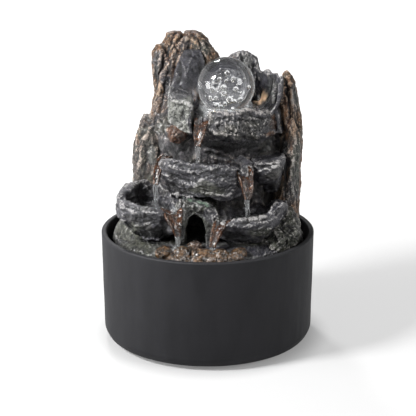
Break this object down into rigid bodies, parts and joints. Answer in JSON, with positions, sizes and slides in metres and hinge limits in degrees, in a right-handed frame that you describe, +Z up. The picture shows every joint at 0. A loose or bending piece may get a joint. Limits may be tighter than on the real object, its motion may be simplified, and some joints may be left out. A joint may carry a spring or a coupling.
{
  "type": "tabletop water fountain",
  "caption": "Round dark bowl holding a craggy rockery with stepped basins and pouring spouts, topped by a clear bubble-filled glass ball that spins on its water jet.",
  "frame": {"origin": "middle of the bowl's footprint, on the surface the foot pads stand on", "axes": "+Z up, -Y is the front the spouts pour towards, +X to the right seen from the front"},
  "size_m": [0.19, 0.1899, 0.267],
  "materials": {
    "bowl_charcoal": "matt, faintly streaked",
    "black_rubber": "matt",
    "grey_rock": "cast resin rock, dark with pale brushed edges",
    "dark_slate": "smooth dark slate, satin",
    "brown_rock": "brown and rust streaks, pale ridges",
    "pale_rock": "light grey, rough",
    "mossy_rock": "olive grey, rough",
    "rust_rock": "wet rust brown",
    "wet_pebble": "wet, glossy",
    "ball_glass": "clear, polished, with bubbles",
    "clear_acrylic": "clear",
    "clear_tube": "clear",
    "pump_black": "fine texture",
    "green_board": "matt",
    "lamp_warm": "warm white",
    "grey_foam": "open cell",
    "white_ceramic": "satin"
  },
  "bodies": {
    "bowl_body": {"bowl": "bowl_charcoal", "foot_pad_1": "black_rubber", "foot_pad_2": "black_rubber", "foot_pad_3": "black_rubber", "foot_pad_4": "black_rubber", "cord_notch_liner": "black_rubber", "pump_motor": "pump_black", "pump_chamber": "pump_black", "impeller_shaft": "white_ceramic", "cord_gland": "black_rubber", "suction_cup_1": "black_rubber", "suction_cup_2": "black_rubber", "suction_cup_3": "black_rubber", "suction_cup_4": "black_rubber"},
    "rockery": {"plinth": "mossy_rock", "rear_wall": "grey_rock", "spout_ball": "rust_rock", "spout_middle_left": "rust_rock", "spout_middle_right": "rust_rock", "spout_lower_left": "rust_rock", "spout_lower_right": "rust_rock", "middle_basin": "grey_rock", "lower_left_basin": "grey_rock", "lower_right_basin": "grey_rock", "ball_shelf": "grey_rock", "left_block": "pale_rock", "rust_stone": "rust_rock", "arch_stone": "mossy_rock", "right_lip": "grey_rock", "inner_slab": "dark_slate", "left_buttress": "brown_rock", "cup_wall": "dark_slate", "mid_peak": "grey_rock", "left_spire": "brown_rock", "middle_spire": "brown_rock", "tall_spire": "brown_rock", "right_blade": "brown_rock", "left_ledge": "brown_rock", "left_bank": "mossy_rock", "right_moss_rock": "mossy_rock", "cave_stone": "rust_rock", "pebble_1": "wet_pebble", "pebble_2": "wet_pebble", "pebble_3": "wet_pebble", "pebble_4": "wet_pebble", "pebble_5": "wet_pebble", "riser_tube": "clear_tube", "nozzle": "pump_black", "lamp_board": "green_board", "lamp_1": "lamp_warm", "lamp_2": "lamp_warm", "lamp_3": "lamp_warm", "lamp_lens": "clear_acrylic", "lamp_lead": "pump_black"},
    "ball_ring": {"ball_seat": "clear_acrylic"},
    "ball": {"crystal_ball": "ball_glass"},
    "impeller_body": {"impeller": "white_ceramic"},
    "cover_body": {"intake_cover": "pump_black", "filter_foam": "grey_foam"},
    "dial_body": {"flow_dial": "pump_black"}
  },
  "joints": [
    {"name": "rockery_lift", "type": "slide", "parent": "bowl_body", "child": "rockery", "axis": [0, 0, 1], "range_m": [0, 0.11]},
    {"name": "seat_lift", "type": "slide", "parent": "rockery", "child": "ball_ring", "axis": [0, 0, 1], "range_m": [0, 0.04]},
    {"name": "ball_spin", "type": "hinge", "parent": "ball_ring", "child": "ball", "pos_m": [0.016, 0.002, 0.2283], "axis": [0, 0, 1], "continuous": true},
    {"name": "impeller_spin", "type": "hinge", "parent": "bowl_body", "child": "impeller_body", "pos_m": [0.016, 0.002, 0.026], "axis": [0, 1, 0], "continuous": true},
    {"name": "cover_pull", "type": "slide", "parent": "bowl_body", "child": "cover_body", "axis": [0, -1, 0], "range_m": [0, 0.03]},
    {"name": "dial_turn", "type": "hinge", "parent": "cover_body", "child": "dial_body", "pos_m": [0.016, -0.022, 0.026], "axis": [0, 1, 0], "range_deg": [-90, 0]}
  ]
}
